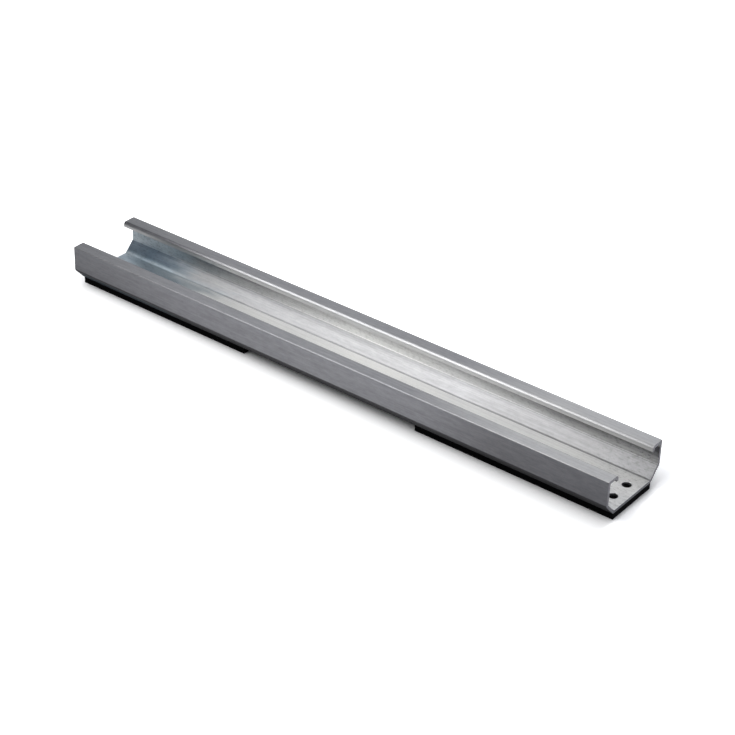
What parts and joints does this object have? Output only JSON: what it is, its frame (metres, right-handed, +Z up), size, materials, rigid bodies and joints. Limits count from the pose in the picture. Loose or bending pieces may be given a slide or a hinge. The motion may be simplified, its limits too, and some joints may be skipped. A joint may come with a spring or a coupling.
{
  "type": "c-channel rail",
  "caption": "Short open aluminium channel rail with slanted lower corners, lipped top flanges, screw holes near its ends and rubber pads glued beneath.",
  "frame": {"origin": "on the floor under the middle of the rail, level with the undersides of the rubber pads", "axes": "+X along the rail towards the right end of the picture, +Y across it away from the viewer, +Z up out of the channel's mouth"},
  "size_m": [0.4, 0.055, 0.029],
  "materials": {
    "mill_finish_aluminium": "bare extruded metal with fine die lines along its length and sawn ends",
    "black_rubber": "matt black solid rubber strip"
  },
  "bodies": {
    "root": {"channel_rail": "mill_finish_aluminium", "rubber_pad_left": "black_rubber", "rubber_pad_right": "black_rubber"}
  },
  "joints": []
}
